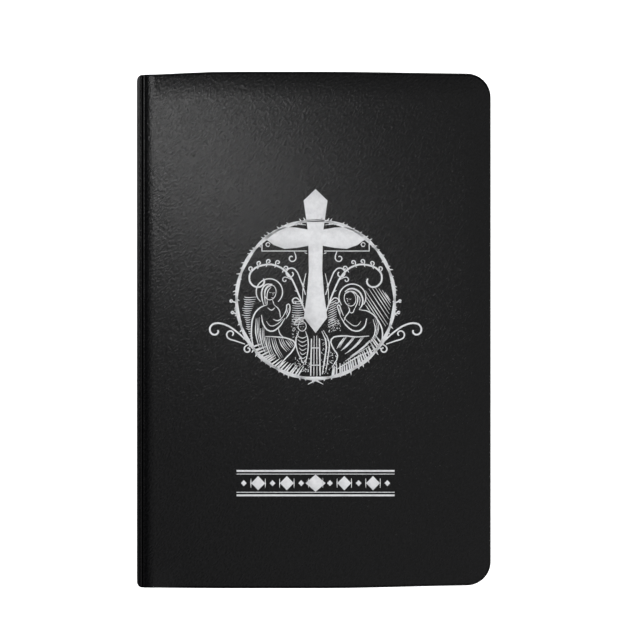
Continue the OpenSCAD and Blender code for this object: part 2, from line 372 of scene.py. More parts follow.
for source, target, socket in (
        ("Place", fibre_noise, "Vector"), ("Scale", fibre_noise, "Scale"), ("Detail", fibre_noise, "Detail"),
        ("Roughness", fibre_noise, "Roughness"), ("Low", fibre_range, "From Min"),
        ("High", fibre_range, "From Max"), ("Dark", fibre_mix, "A"), ("Light", fibre_mix, "B"),
        ("Depth", fibre_bump, "Distance"), ("Strength", fibre_bump, "Strength")):
    fibrous.links.new(fibre_in.outputs[source], target.inputs[socket])
fibrous.links.new(fibre_noise.outputs["Fac"], fibre_range.inputs["Value"])
fibrous.links.new(fibre_range.outputs["Result"], fibre_mix.inputs["Factor"])
fibrous.links.new(fibre_noise.outputs["Fac"], fibre_bump.inputs["Height"])
fibrous.links.new(fibre_mix.outputs["Result"], fibre_out.inputs["Colour"])
fibrous.links.new(fibre_bump.outputs["Normal"], fibre_out.inputs["Normal"])


def fibred(material, shader, place, tones, scale, depth=0.05 * mm, strength=1.0, detail=4.0, rough=0.55,
           spread=(0.3, 0.7)):
    """Gives a material fibres in two tones, with their relief, and returns their colour."""
    node = material.node_tree.nodes.new("ShaderNodeGroup")
    node.node_tree = fibrous
    for socket, value in (("Scale", scale), ("Detail", detail), ("Roughness", rough), ("Low", spread[0]),
                          ("High", spread[1]), ("Dark", (*tones[0], 1)), ("Light", (*tones[1], 1)),
                          ("Depth", depth), ("Strength", strength)):
        node.inputs[socket].default_value = value
    material.node_tree.links.new(place, node.inputs["Place"])
    material.node_tree.links.new(node.outputs["Colour"], shader.inputs["Base Color"])
    material.node_tree.links.new(node.outputs["Normal"], shader.inputs["Normal"])
    return node.outputs["Colour"]


leaf_edges, edge_shader = new_material("leaf_edges", 0.8)
fibred(leaf_edges, edge_shader, stretched(leaf_edges, placed(leaf_edges), (14, 14, 7000)),
       ((0.50, 0.45, 0.36), (0.88, 0.85, 0.77)), scale=1.0, depth=0.06 * mm, strength=0.8, rough=0.65,
       spread=(0.32, 0.66))

line_pitch = 3.1 * mm
column_w = 51 * mm
column_x = 28 * mm
text_half_h = 92 * mm
line_share = 0.42
words_per_metre = 520.0
word_level = 0.43
row_shift = 5.3
print_darkness = 0.75


def calculated(material, operation, first, second=0.0):
    """The result of a sum on a node's output and a second output or number."""
    node = material.node_tree.nodes.new("ShaderNodeMath")
    node.operation = operation
    material.node_tree.links.new(first, node.inputs[0])
    if isinstance(second, bpy.types.NodeSocket):
        material.node_tree.links.new(second, node.inputs[1])
    else:
        node.inputs[1].default_value = second
    return node.outputs["Value"]


def printed(material):
    """Where the two columns of plain dashes are, which stand for lines of small print."""
    apart = material.node_tree.nodes.new("ShaderNodeSeparateXYZ")
    material.node_tree.links.new(placed(material), apart.inputs["Vector"])
    x, y = apart.outputs["X"], apart.outputs["Y"]
    rows = calculated(material, "DIVIDE", y, line_pitch)
    in_row = calculated(material, "LESS_THAN", calculated(material, "FRACT", rows), line_share)
    word_place = material.node_tree.nodes.new("ShaderNodeCombineXYZ")
    material.node_tree.links.new(calculated(material, "MULTIPLY", x, words_per_metre), word_place.inputs["X"])
    material.node_tree.links.new(
        calculated(material, "MULTIPLY", calculated(material, "FLOOR", rows), row_shift), word_place.inputs["Y"])
    word_noise = material.node_tree.nodes.new("ShaderNodeTexNoise")
    word_noise.inputs["Scale"].default_value = 1.0
    word_noise.inputs["Detail"].default_value = 1.0
    word_noise.inputs["Roughness"].default_value = 0.55
    material.node_tree.links.new(word_place.outputs["Vector"], word_noise.inputs["Vector"])
    words = calculated(material, "GREATER_THAN", word_noise.outputs["Fac"], word_level)
    from_middle = calculated(material, "ABSOLUTE", x)
    from_column = calculated(material, "ABSOLUTE", calculated(material, "SUBTRACT", from_middle, column_x))
    in_column = calculated(material, "LESS_THAN", from_column, column_w / 2)
    in_height = calculated(material, "LESS_THAN", calculated(material, "ABSOLUTE", y), text_half_h)
    inside = calculated(material, "MULTIPLY", in_column, in_height)
    return calculated(material, "MULTIPLY", calculated(material, "MULTIPLY", in_row, words), inside)


page_paper, page_shader = new_material("page_paper", 0.75)
page_tone = fibred(page_paper, page_shader, placed(page_paper), ((0.78, 0.75, 0.67), (0.86, 0.83, 0.76)),
                   scale=700, depth=0.03 * mm, strength=0.5, rough=0.6)
print_mix = page_paper.node_tree.nodes.new("ShaderNodeMix")
print_mix.data_type = "RGBA"
page_paper.node_tree.links.new(
    calculated(page_paper, "MULTIPLY", printed(page_paper), print_darkness), print_mix.inputs["Factor"])
page_paper.node_tree.links.new(page_tone, print_mix.inputs["A"])
print_mix.inputs["B"].default_value = (0.09, 0.085, 0.08, 1)
page_paper.node_tree.links.new(print_mix.outputs["Result"], page_shader.inputs["Base Color"])


def paged(piece):
    """Gives the broad sides of some leaves the printed paper, and leaves the cut edges as they are."""
    piece.data.materials.append(page_paper)
    for face in piece.data.polygons:
        if abs(face.normal.z) > 0.9:
            face.material_index = 1


def gutter(side):
    square = 1 / (1 / gutter_reach ** 2 + 1 / block_half_t ** 2)
    along, across = square / gutter_reach, square / block_half_t
    return (Vector((spine_x - side * along, 0, mid_z - across)),
            Vector((spine_x + side * along, 0, mid_z + across)))


signatures = sorted(name for name in frame["nodes"] if name.startswith("signature_"))
for number, name in enumerate(signatures):
    low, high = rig.box(name)
    folds = [low.x + fold_round * k for k in (0.12, 0.4, 1)]
    body = sheet(low.x, high.x, high.y, page_corner_r,
                 columns=folds + evenly(low.x + fold_round, low.x + bent_reach, gutter_columns))
    thicken(body)
    for v in body.verts:
        fall = quarter_round(v.co.x - low.x, fold_round)
        v.co.z = low.z + fall if v.co.z < 0.5 else high.z - fall
    piece = finished(body, name + "_leaves", leaf_edges)
    paged(piece)
    half = -1 if number < len(signatures) / 2 else 1
    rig.blend(piece, "root", "front_half", *gutter(half))
    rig.replaces(piece, name)
    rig.slot(piece, "page_paper")


# ---- Loose leaves at the middle opening ----
# Four thin leaves between the two halves. Open, they stand from the gutter and droop to either side.

inner_bend = (10 * mm, 250 * mm)
outer_bend = (8 * mm, 215 * mm)
leaf_columns = 24
for number, (bend_start, bend_end) in enumerate((outer_bend, inner_bend, inner_bend, outer_bend), 1):
    name = f"middle_leaf_{number}"
    low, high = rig.box(name)
    body = sheet(low.x, high.x, high.y, page_corner_r, columns=evenly(low.x, high.x, leaf_columns))
    thicken(body)
    for v in body.verts:
        v.co.z = low.z if v.co.z < 0.5 else high.z
    piece = finished(body, name + "_paper", leaf_edges)
    paged(piece)
    lying_on = "root" if number < 3 else "front_half"
    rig.blend(piece, f"leaf_{number}_body", lying_on,
             Vector((spine_x + bend_start, 0, mid_z)), Vector((spine_x + bend_end, 0, mid_z)))
    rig.replaces(piece, name)
    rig.slot(piece, "page_paper")


# ---- Endpapers ----
# Heavier cream sheets. Each is pasted inside its cover, crosses the joint and is followed by a free flyleaf.

endpaper, endpaper_shader = new_material("endpaper", 0.8)
fibred(endpaper, endpaper_shader, placed(endpaper), ((0.80, 0.77, 0.71), (0.87, 0.85, 0.80)),
       scale=900, depth=0.04 * mm, strength=0.5, rough=0.6)

pastedown_corner_r = 6 * mm
turn_in_relief = 0.1 * mm
turn_in_edge = 8 * mm
ridge_w = 1 * mm
fold_lift = 0.3 * mm
endpaper_bend = (-0.5 * mm, 4.4 * mm)
flyleaf_gap = 0.2 * mm
flyleaf_bend = 25 * mm
total_t = 2 * mid_z


def turned(z, front):
    """A height measured from a cover's outer face, as a height in the book."""
    return total_t - z if front else z


for side in ("front", "back"):
    front = side == "front"
    cover, half = (f"{side}_cover", "front_half" if front else "root")
    hinge_x = Vector(hinges[f"{side}_cover_hinge"]["pos_m"]).x
    low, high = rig.box(f"{side}_pastedown")
    strip_low, strip_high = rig.box(f"{side}_endpaper_hinge")
    inner = total_t - low.z if front else high.z
    outer = total_t - high.z if front else low.z
    ridge_lines = [turn_in_edge - ridge_w, turn_in_edge]
    body = sheet(strip_low.x, high.x, high.y, pastedown_corner_r,
                 columns=evenly(strip_low.x, low.x + ridge_w, 8) + [high.x - d for d in ridge_lines],
                 rows=[s * (high.y - d) for s in (-1, 1) for d in ridge_lines])
    thicken(body)
    for v in body.verts:
        past = (low.x - v.co.x) / (low.x - strip_low.x)
        narrowed = min(max(past, 0), 1)
        edge = min(high.x - v.co.x, high.y - abs(v.co.y))
        raised = turn_in_relief if edge < turn_in_edge - ridge_w / 2 and past < 0 else 0
        v.co.y *= 1 - narrowed * (1 - strip_high.y / high.y)
        lift = narrowed ** 2 * fold_lift + raised
        v.co.z = turned((outer if v.co.z < 0.5 else inner) + lift, front)
    piece = finished(body, f"{side}_endpaper", endpaper)
    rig.blend(piece, half, cover, *(Vector((hinge_x + offset, 0, mid_z)) for offset in endpaper_bend))
    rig.replaces(piece, f"{side}_pastedown", f"{side}_endpaper_hinge")
    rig.slot(piece, "endpaper")

    low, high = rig.box(f"{side}_flyleaf")
    body = sheet(strip_low.x + flyleaf_gap, high.x, high.y, page_corner_r,
                 columns=evenly(low.x, high.x, 20))
    thicken(body)
    for v in body.verts:
        v.co.z = low.z if v.co.z < 0.5 else high.z
    piece = finished(body, f"{side}_flyleaf_paper", endpaper)
    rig.blend(piece, half, f"{side}_flyleaf_body",
             Vector((low.x, 0, mid_z)), Vector((low.x + flyleaf_bend, 0, mid_z)))
    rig.replaces(piece, f"{side}_flyleaf")
    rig.slot(piece, "endpaper")


# ---- Spine linings ----
# The sewing thread runs over the folds at eight stations. Open gauze is glued over it, and card over that.

outer_spine_r = 47.15 * mm


class Run:
    """A smooth line through given points, measured along its length."""

    def __init__(self, points, steps=12):
        ends = [2 * points[0] - points[1]] + points + [2 * points[-1] - points[-2]]
        self.places, self.lengths = [points[0]], [0.0]
        for a, b, c, d in zip(ends, ends[1:], ends[2:], ends[3:]):
            for k in range(1, steps + 1):
                t = k / steps
                p = 0.5 * (2 * b + (c - a) * t + (2 * a - 5 * b + 4 * c - d) * t ** 2
                           + (3 * b - a - 3 * c + d) * t ** 3)
                self.lengths.append(self.lengths[-1] + (p - self.places[-1]).length)
                self.places.append(p)
        self.length = self.lengths[-1]

    def at(self, length):
        """The point at a length, and the direction to the left of the line there."""
        k = 1
        while k < len(self.lengths) - 1 and self.lengths[k] < length:
            k += 1
        a, b = self.places[k - 1], self.places[k]
        ahead = (b - a).normalized()
        return a + ahead * (length - self.lengths[k - 1]), Vector((-ahead.y, ahead.x))


def spine_arc(radius, reach, steps=12):
    """A line down the rounded back of the book, from the front to the back."""
    heights = [reach * (1 - 2 * k / steps) for k in range(steps + 1)]
    return Run([Vector((outer_spine_r - math.sqrt(radius ** 2 - z ** 2), mid_z + z)) for z in heights])


def wrapped(made, line, thickness=1.0):
    """Lays a thickened sheet along a line, with its z turned to depth on the line's left."""
    for v in made.verts:
        point, left = line.at(v.co.x)
        depth = v.co.z * thickness
        v.co.x, v.co.z = spine_x + point.x + left.x * depth, point.y + left.y * depth


spine_bend = (Vector((spine_x, 0, mid_z - block_half_t)), Vector((spine_x, 0, mid_z + block_half_t)))

card, card_shader = new_material("grey_card", 0.85)
card_tones = ((0.36, 0.34, 0.31), (0.50, 0.48, 0.44))
fibred(card, card_shader, placed(card), card_tones, scale=1200)

gauze, gauze_shader = new_material("gauze", 0.9)
weave = gauze.node_tree.nodes.new("ShaderNodeTexWave")
weave.wave_type = "BANDS"
weave.bands_direction = "Y"
weave.inputs["Scale"].default_value = 260
gauze.node_tree.links.new(placed(gauze), weave.inputs["Vector"])
gauze.node_tree.links.new(
    ramp(gauze, weave.outputs["Fac"], 0.2, 0.6, ((0.60, 0.57, 0.50), (0.84, 0.81, 0.74))),
    gauze_shader.inputs["Base Color"])
bumped(gauze, gauze_shader, weave.outputs["Fac"], 0.1 * mm)

card_r, card_t = 46.2 * mm, 0.4 * mm
gauze_r, gauze_t = 45.8 * mm, 0.3 * mm
for name, piece_name, radius, thick, material, slot in (
        ("spine_liner", "spine_card", card_r, card_t, card, "grey_card"),
        ("spine_mull", "spine_gauze", gauze_r, gauze_t, gauze, "gauze")):
    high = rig.box(name)[1]
    line = spine_arc(radius, block_half_t)
    body = sheet(0, line.length, high.y, 0, columns=evenly(0, line.length, 30))
    thicken(body)
    wrapped(body, line, thick)
    piece = finished(body, piece_name, material)
    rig.blend(piece, "root", "front_half", *spine_bend)
    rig.replaces(piece, name)
    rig.slot(piece, slot)

cotton, cotton_shader = new_material("sewing_cotton", 0.8)
fibred(cotton, cotton_shader, placed(cotton), ((0.70, 0.67, 0.60), (0.90, 0.88, 0.82)),
       scale=2600, depth=0.08 * mm, detail=2.0)

stations = 8
station_pitch = 24 * mm
thread_r = 0.13 * mm
thread_line_r = 45.28 * mm
thread_half_angle = math.asin((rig.box("sewing_thread")[1].z - mid_z) / thread_line_r)
axle = (spine_x + outer_spine_r, 0, mid_z)
thread = bmesh.new()
for station in range(stations):
    ring = bmesh.ops.create_circle(thread, cap_ends=True, segments=8, radius=thread_r)["verts"]
    bmesh.ops.translate(thread, verts=ring, vec=(
        spine_x + outer_spine_r - thread_line_r,
        (station - (stations - 1) / 2) * station_pitch, mid_z))
    bmesh.ops.rotate(thread, cent=axle, matrix=Matrix.Rotation(-thread_half_angle, 3, "Y"), verts=ring)
    faces = list({f for v in ring for f in v.link_faces})
    edges = list({e for v in ring for e in v.link_edges})
    bmesh.ops.spin(thread, geom=ring + edges + faces, cent=axle, axis=(0, 1, 0),
                   angle=2 * thread_half_angle, steps=24, use_duplicate=False)
piece = finished(thread, "sewing_cotton", cotton)
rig.blend(piece, "root", "front_half", *spine_bend)
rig.replaces(piece, "sewing_thread")
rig.slot(piece, "thread")


# ---- Head and tail bands ----
# A cord covered in striped cloth, glued across the back of the leaves at each end.

band_cloth, band_shader = new_material("band_cloth", 0.8)
stripes = band_cloth.node_tree.nodes.new("ShaderNodeTexWave")
stripes.wave_type = "BANDS"
stripes.bands_direction = "Z"
stripes.inputs["Scale"].default_value = 190
band_cloth.node_tree.links.new(placed(band_cloth), stripes.inputs["Vector"])
band_cloth.node_tree.links.new(
    ramp(band_cloth, stripes.outputs["Fac"], 0.45, 0.55, ((0.06, 0.06, 0.065), (0.86, 0.85, 0.81))),
    band_shader.inputs["Base Color"])
bumped(band_cloth, band_shader, stripes.outputs["Fac"], 0.12 * mm)

band_r = 0.8 * mm
block_spine_r = 45 * mm
band_line_r = block_spine_r - band_r
half_angle = math.asin(block_half_t / block_spine_r)
for name in ("head_band", "tail_band"):
    low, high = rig.box(name)
    cord = bmesh.new()
    ring = bmesh.ops.create_circle(cord, cap_ends=True, segments=16, radius=band_r)["verts"]
    bmesh.ops.translate(cord, verts=ring, vec=(
        spine_x + outer_spine_r - band_line_r, (low.y + high.y) / 2, mid_z))
    bmesh.ops.rotate(cord, cent=axle, matrix=Matrix.Rotation(-half_angle, 3, "Y"), verts=ring)
    bmesh.ops.spin(cord, geom=cord.verts[:] + cord.edges[:] + cord.faces[:], cent=axle, axis=(0, 1, 0),
                   angle=2 * half_angle, steps=40, use_duplicate=False)
    piece = finished(cord, name + "_cloth", band_cloth)
    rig.blend(piece, "root", "front_half", *spine_bend)
    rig.replaces(piece, name)
    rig.slot(piece, "band_cloth")


# ---- Leather ----
# Black imitation leather with a fine slanting grain, in three strips that meet at the bottom of the grooves.
# It is turned in round the boards, and drawn in a little at head and tail near the spine and the fore-edge.

slanting_grain = bpy.data.node_groups.new("slanting_grain", "ShaderNodeTree")
slanting_grain.interface.new_socket("Place", in_out="INPUT", socket_type="NodeSocketVector")
slanting_grain.interface.new_socket("Scale", in_out="INPUT", socket_type="NodeSocketFloat")
slanting_grain.interface.new_socket("Height", in_out="OUTPUT", socket_type="NodeSocketFloat")
grain_in = slanting_grain.nodes.new("NodeGroupInput")
grain_out = slanting_grain.nodes.new("NodeGroupOutput")
grain_turn = slanting_grain.nodes.new("ShaderNodeMapping")
grain_turn.vector_type = "TEXTURE"
grain_turn.inputs["Rotation"].default_value = (0, 0, math.radians(48))
grain_turn.inputs["Scale"].default_value = (2.4, 1, 1)
grain_noise = slanting_grain.nodes.new("ShaderNodeTexNoise")
grain_noise.inputs["Detail"].default_value = 2.0
grain_noise.inputs["Roughness"].default_value = 0.5
slanting_grain.links.new(grain_in.outputs["Place"], grain_turn.inputs["Vector"])
slanting_grain.links.new(grain_turn.outputs["Vector"], grain_noise.inputs["Vector"])
slanting_grain.links.new(grain_in.outputs["Scale"], grain_noise.inputs["Scale"])
slanting_grain.links.new(grain_noise.outputs["Fac"], grain_out.inputs["Height"])


grain_per_metre = 1900


def grained(material):
    """The height of the leather's grain on a material."""
    node = material.node_tree.nodes.new("ShaderNodeGroup")
    node.node_tree = slanting_grain
    node.inputs["Scale"].default_value = grain_per_metre
    material.node_tree.links.new(placed(material), node.inputs["Place"])
    return node.outputs["Height"]


black_leather, leather_shader = new_material("black_leather", 0.17)
leather_shader.inputs["Specular IOR Level"].default_value = 0.1
leather_grain = grained(black_leather)
black_leather.node_tree.links.new(
    ramp(black_leather, leather_grain, 0.35, 0.65, ((0.0006, 0.0006, 0.0007), (0.0036, 0.0035, 0.0039))),
    leather_shader.inputs["Base Color"])
bumped(black_leather, leather_shader, leather_grain, 0.06 * mm)

leather_t = 0.9 * mm
pared_t = 0.5 * mm
cover_corner_r = 10 * mm
plane_u = 7.6 * mm
board_u = 8.2 * mm
edge_insets = [0.12 * mm, 0.25 * mm, 0.35 * mm, 0.4 * mm]
spine_edge_rows = [0.06 * mm, 0.15 * mm, 0.3 * mm, 0.45 * mm]
edge_round = 1.0 * mm
spine_dips = (1.3 * mm, 0.25 * mm)
fore_edge_dips = (0.8 * mm, 1.25 * mm)
spine_dip_reach = 38 * mm
fore_edge_dip_reach = 72 * mm
corner_w, corner_h = 2.9 * mm, 3.2 * mm
inner_edge_share = 0.7
pared_from = 1.5 * mm
pared_over = 3 * mm
cover_bend = (-0.4 * mm, 4.2 * mm)
fore_edge_x = cad_high.x
head_y = cad_high.y

# The skin's course across the joint and over the spine's edge: distance from the spine, then depth.
# The first ends flat at plane_u.
joint_line = Run([Vector(p) * mm for p in (
    (3.0, 2.5), (3.06, 2.0), (3.12, 1.5), (3.2, 1.0), (3.38, 0.55), (3.75, 0.3), (4.3, 0.18),
    (5.1, 0.09), (6.2, 0.03), (7.6, 0.0))])
ridge = [Vector(p) * mm for p in (
    (3.35, 2.5), (3.05, 2.05), (2.75, 1.65), (2.3, 1.45), (1.8, 1.52), (1.3, 1.8), (0.9, 2.3),
    (0.62, 3.1), (0.45, 4.6), (0.3, 7.5), (0.1, 12.0))]


def smooth(t):
    t = min(max(t, 0), 1)
    return t * t * (3 - 2 * t)


def drawn_in(v):
    """Pulls a point of a cover in at head or tail, as it nears the spine or the fore-edge."""
    u = v.co.x - spine_x
    end = 0 if v.co.y > 0 else 1
    dip = spine_dips[end] * (1 - smooth(u / spine_dip_reach))
    dip += fore_edge_dips[end] * (1 - smooth((fore_edge_x - v.co.x) / fore_edge_dip_reach))
    if u < corner_w:
        dip += corner_h * (1 - math.sqrt(max(0, 1 - (1 - u / corner_w) ** 2)))
    v.co.y *= 1 - dip / head_y


for side in ("front", "back"):
    front = side == "front"
    cover, half = (f"{side}_cover", "front_half" if front else "root")
    hinge_x = Vector(hinges[f"{side}_cover_hinge"]["pos_m"]).x
    skin_low, skin_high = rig.box(f"{side}_leather")
    cover_skin_t = skin_high.z - skin_low.z
    plane_x = spine_x + plane_u
    body = sheet(plane_x - joint_line.length, fore_edge_x, head_y, cover_corner_r,
                 columns=evenly(plane_x - joint_line.length, plane_x, 14)
                 + evenly(plane_x, spine_x + board_u, 4) + evenly(spine_x + board_u, fore_edge_x, 12),
                 rows=evenly(-head_y, head_y, 18), insets=edge_insets)
    thicken(body)
    for v in body.verts:
        x, y = v.co.x, v.co.y
        across, along = fore_edge_x - x, head_y - abs(y)
        in_corner = across < cover_corner_r and along < cover_corner_r
        edge = (cover_corner_r - math.hypot(cover_corner_r - across, cover_corner_r - along)
                if in_corner else min(across, along))
        if x < plane_x:
            point, left = joint_line.at(joint_line.length - (plane_x - x))
            full = pared_t + (leather_t - pared_t) * smooth((x - plane_x) / joint_line.length + 1)
        else:
            point, left = Vector((x - spine_x, 0)), Vector((0, 1))
            full = leather_t + (cover_skin_t - leather_t) * smooth((x - plane_x) / (board_u - plane_u))
        fall = quarter_round(edge, min(edge_round, full / 2))
        depth = full - fall * inner_edge_share if v.co.z > 0.5 else fall
        v.co.x = spine_x + point.x + left.x * depth
        v.co.z = turned(point.y + left.y * depth, front)
        drawn_in(v)
    piece = finished(body, f"{side}_cover_leather", black_leather)
    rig.blend(piece, half, cover, *(Vector((hinge_x + offset, 0, mid_z)) for offset in cover_bend))
    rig.replaces(piece, f"{side}_leather", f"{side}_joint_leather")
    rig.slot(piece, "black_leather")

back_run = ridge + [Vector((0, mid_z))]
spine_line = Run([Vector((p.x, total_t - p.y)) for p in back_run] + back_run[-2::-1])
body = sheet(0, spine_line.length, head_y, 0, columns=evenly(0, spine_line.length, 60),
             rows=[s * (head_y - d) for s in (-1, 1) for d in spine_edge_rows])
thicken(body)
for v in body.verts:
    end = min(v.co.x, spine_line.length - v.co.x)
    full = pared_t + (leather_t - pared_t) * smooth((end - pared_from) / pared_over)
    fall = quarter_round(head_y - abs(v.co.y), full / 2)
    v.co.z = full - fall if v.co.z > 0.5 else fall
wrapped(body, spine_line)
for v in body.verts:
    drawn_in(v)
piece = finished(body, "spine_cover_leather", black_leather)
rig.blend(piece, "root", "front_half", *spine_bend)
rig.replaces(piece, "spine_leather")
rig.slot(piece, "black_leather")


# ---- Cover boards ----
# Flexible grey board under the pastedown, closed in by the leather on three sides and drawn in with it.

board, board_shader = new_material("flexible_board", 0.9)
fibred(board, board_shader, placed(board), card_tones, scale=1100)

board_corner_r = 9 * mm
turn_in_t = 0.3 * mm
for side in ("front", "back"):
    low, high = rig.box(f"{side}_board")
    body = sheet(low.x, high.x, high.y, board_corner_r, columns=evenly(low.x, high.x, 12),
                 rows=evenly(low.y, high.y, 18))
    thicken(body)
    for v in body.verts:
        v.co.z = turned(leather_t + v.co.z * (high.z - low.z - turn_in_t), side == "front")
        drawn_in(v)
    piece = finished(body, f"{side}_cover_board", board)
    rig.ride(piece, f"{side}_cover")
    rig.replaces(piece, f"{side}_board")
    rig.slot(piece, "grey_card")


# ---- Silver stamping ----
# Thin metallic foil pressed on the front cover: a flared cross over a ring of thorny vine, with scrolls and
# praying figures in engraved lines, and under it a band of rules and lozenges. It takes the leather's grain.

foil_t = 0.06 * mm
foil_sunk = 0.04 * mm
foil_edge = 0.05 * mm
line_shoulder = 0.02 * mm
ring_r = 33.0
emblem_x, emblem_y = 1.0 * mm, 12.7 * mm
chance = random.Random(7)

silver, silver_shader = new_material("silver_foil", 0.5)
silver_shader.inputs["Metallic"].default_value = 0.55
fibred(silver, silver_shader, placed(silver), ((0.66, 0.66, 0.67), (0.80, 0.80, 0.81)),
       scale=420, detail=5.0, rough=0.65, spread=(0.25, 0.6))
bumped(silver, silver_shader, grained(silver), 0.12 * mm)


def line(points, width, start=0.45, end=0.45):
    """An engraved line through points, in millimetres from the ring's centre, thinner at its ends."""
    points = [Vector(p) for p in points]
    if len(points) == 2:
        points.insert(1, (points[0] + points[1]) / 2)
    return points, width, start, end


def curl(points, width, radius, turns, side):
    """A stem that ends in a tightening curl, to the left of its way for side 1 and to the right for -1."""
    route = [Vector(p) for p in points]
    heading = (route[-1] - route[-2]).normalized()
    steps = max(4, round(turns * 9))
    turn = side * 2 * math.pi * turns / steps
    for k in range(steps):
        heading = Matrix.Rotation(turn, 2) @ heading
        route.append(route[-1] + heading * radius * (1 - 0.72 * k / steps) * abs(turn))
    return route, width, 0.7, 0.8


def arc(centre, radius, first, last, width, squash=1.0, lean=0.0):
    """Part of a ring or oval from one angle to another, in degrees."""
    steps = max(4, round(abs(last - first) / 24))
    turned_by = Matrix.Rotation(math.radians(lean), 2)
    points = []
    for k in range(steps + 1):
        a = math.radians(first + (last - first) * k / steps)
        on_oval = Vector((radius * math.cos(a), radius * squash * math.sin(a)))
        points.append(Vector(centre) + turned_by @ on_oval)
    return points, width, 0.7, 0.7


def pressed(made, outline, centre=(0.0, 0.0)):
    """A filled area of foil with softened edges."""
    corners = [made.verts.new((emblem_x + (x + centre[0]) * mm, emblem_y + (y + centre[1]) * mm,
                               total_t - foil_sunk)) for x, y in outline]
    face = made.faces.new(corners)
    lifted = bmesh.ops.extrude_face_region(made, geom=[face], use_keep_orig=True)["geom"]
    bmesh.ops.translate(made, vec=(0, 0, foil_t + foil_sunk),
                        verts=[g for g in lifted if isinstance(g, bmesh.types.BMVert)])
    top = [g for g in lifted if isinstance(g, bmesh.types.BMFace)][0]
    bmesh.ops.bevel(made, geom=top.edges[:], offset=foil_edge, affect="EDGES", segments=2,
                    profile=0.5, material=-1)


def stamp(name, lines, replaced, areas=()):
    """Makes one foil piece of engraved lines and filled areas, on the front cover."""
    curve = bpy.data.curves.new(name, "CURVE")
    curve.dimensions = "3D"
    curve.bevel_depth = 1.0
    curve.bevel_resolution = 1
    curve.resolution_u = 3
    curve.use_fill_caps = True
    for points, width, start, end in lines:
        spline = curve.splines.new("BEZIER")
        spline.bezier_points.add(len(points) - 1)
        for k, (knot, point) in enumerate(zip(spline.bezier_points, points)):
            t = k / (len(points) - 1)
            swell = min(1, start + 2.4 * t, end + 2.4 * (1 - t))
            knot.co = (emblem_x + point.x * mm, emblem_y + point.y * mm, 0)
            knot.radius = width / 2 * swell * mm
            knot.handle_left_type = knot.handle_right_type = "AUTO"
    drawing = bpy.data.objects.new(name + "_lines", curve)
    bpy.context.collection.objects.link(drawing)
    bpy.context.view_layer.update()
    flat = bpy.data.meshes.new_from_object(drawing)
    bpy.data.objects.remove(drawing)
    made = bmesh.new()
    made.from_mesh(flat)
    bpy.data.meshes.remove(flat)
    for v in made.verts:
        level = max(-1, min(1, v.co.z / line_shoulder))
        v.co.z = total_t + (foil_t if level > 0 else foil_sunk) * level
    for outline, centre in areas:
        pressed(made, outline, centre)
    piece = finished(made, name, silver, sharp=60)
    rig.ride(piece, "front_cover")
    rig.replaces(piece, replaced)
    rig.slot(piece, "silver_foil")


cross_side = [(5.0, 41.4), (3.3, 29.3), (8, 30.1), (13, 30.3), (17.5, 28.9), (21.6, 25.8), (17.5, 22.8),
              (13, 21.2), (8, 21.6), (3.0, 22.5), (2.8, 12), (3.6, 2), (4.9, -7.5)]
cross = [(0, 46.2)] + cross_side + [(0, -14)] + [(-x, y) for x, y in reversed(cross_side)]
stamp("stamped_cross", [], "foil_cross", [(cross, (0, 0))])

vine = []
for strand in (1, -1):
    points = []
    for k in range(73):
        a = math.radians(k * 5 + 90)
        r = ring_r + strand * 0.36 * math.sin(9 * a)
        points.append(Vector((r * math.cos(a), r * math.sin(a))))
    vine.append((points, 0.85, 1.0, 1.0))
for k in range(96):
    a = math.radians(k * 360 / 96 + chance.uniform(-1.5, 1.5))
    outward = Vector((math.cos(a), math.sin(a)))
    along = Vector((-outward.y, outward.x)) * (1 if outward.x < 0 else -1)
    reach = chance.uniform(1.0, 1.9) * (1 if k % 4 else -0.7)
    root = outward * ring_r
    vine.append(line([root, root + outward * reach + along * 0.7], 0.55, 1.0, 0.25))
for y in (-1.4, -6.2):
    for side in (-1, 1):
        root = Vector((side * math.sqrt(ring_r ** 2 - y ** 2), y))
        vine.append(line([root, root + Vector((side * 1.9, 0.7))], 0.6, 1.0, 1.0))
        vine.append(arc(root + Vector((side * 2.3, 0.8)), 0.45, 0, 340, 0.6))
vine += [line([(-3.2, -35.4), (0, -33.8), (3.0, -33.2)], 0.6),
         line([(3.2, -35.4), (0, -33.8), (-3.0, -33.2)], 0.6)]
stamp("stamped_vine_ring", vine, "foil_ring")

